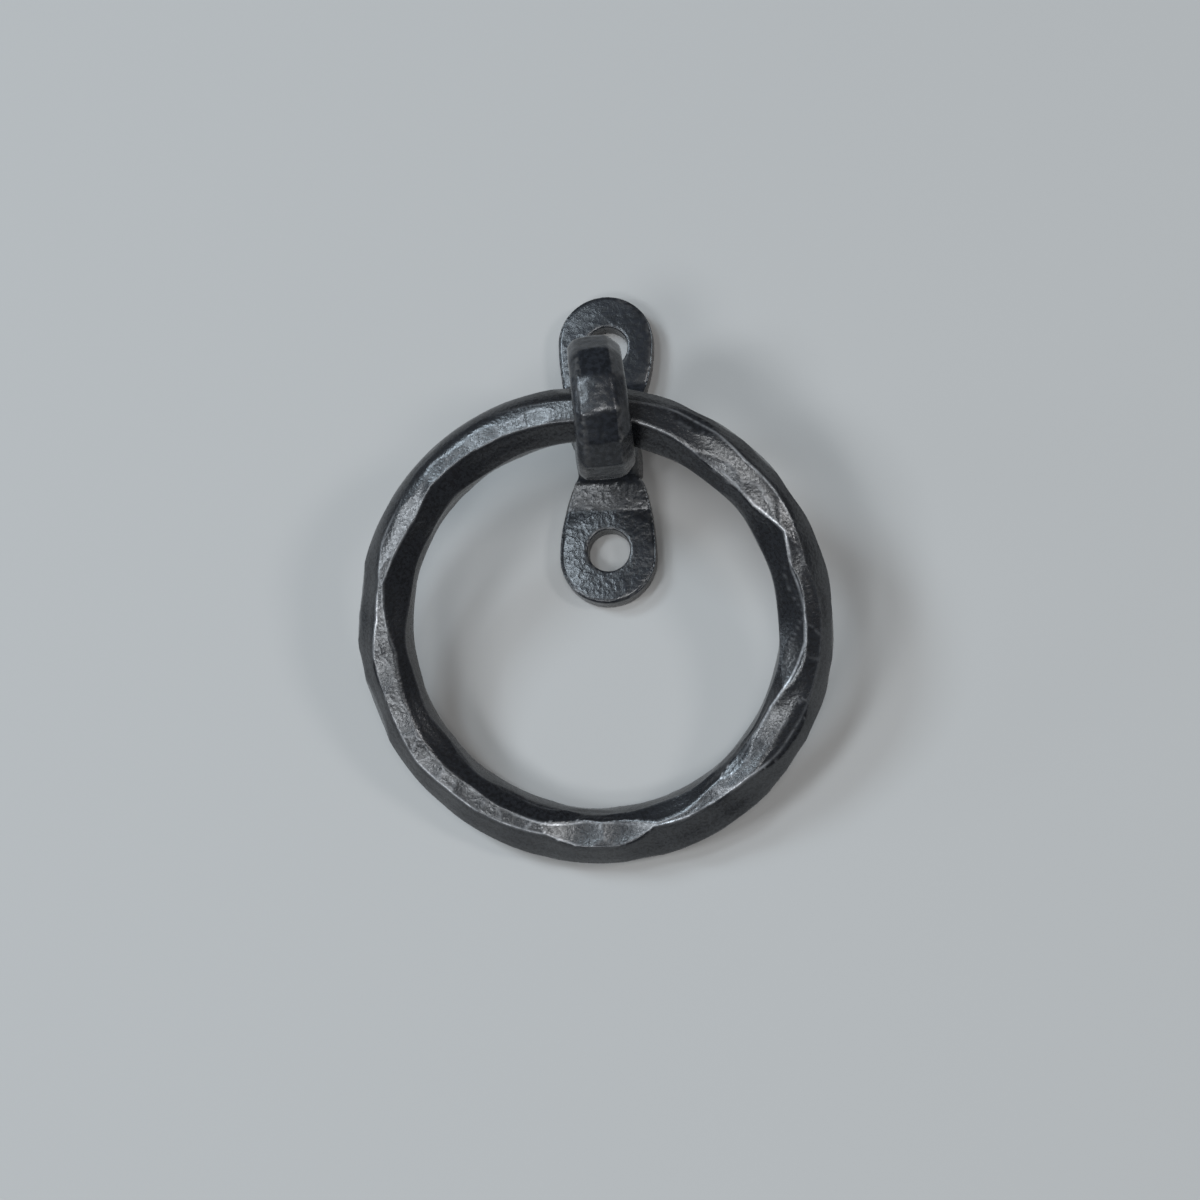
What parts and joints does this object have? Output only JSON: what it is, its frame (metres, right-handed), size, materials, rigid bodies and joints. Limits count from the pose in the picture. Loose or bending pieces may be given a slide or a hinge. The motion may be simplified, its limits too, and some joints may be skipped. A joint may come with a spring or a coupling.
{
  "type": "ring pull handle",
  "caption": "Forged ring pull: a hammered round-bar ring that swings in a closed eye on two drilled leaf-shaped ears.",
  "frame": {"origin": "midway between the two screw holes, on the back face of the ears", "axes": "+Z out of the mounting surface, +Y along the row of screw holes to the ear away from the lying ring, +X to the right"},
  "size_m": [0.0758, 0.0952, 0.0385],
  "materials": {
    "bracket_steel": "blackened forged steel, satin, fine scale",
    "ring_steel": "blackened hammered steel, waxed, bright along the ridges"
  },
  "bodies": {
    "bracket": {"eye_bracket": "bracket_steel"},
    "ring": {"pull_ring": "ring_steel"}
  },
  "joints": [
    {"name": "ring_swing", "type": "hinge", "parent": "bracket", "child": "ring", "pos_m": [0.00148, -0.0011, 0.02641], "axis": [-0.9962, 0.0872, 0], "range_deg": [0, 217]}
  ]
}
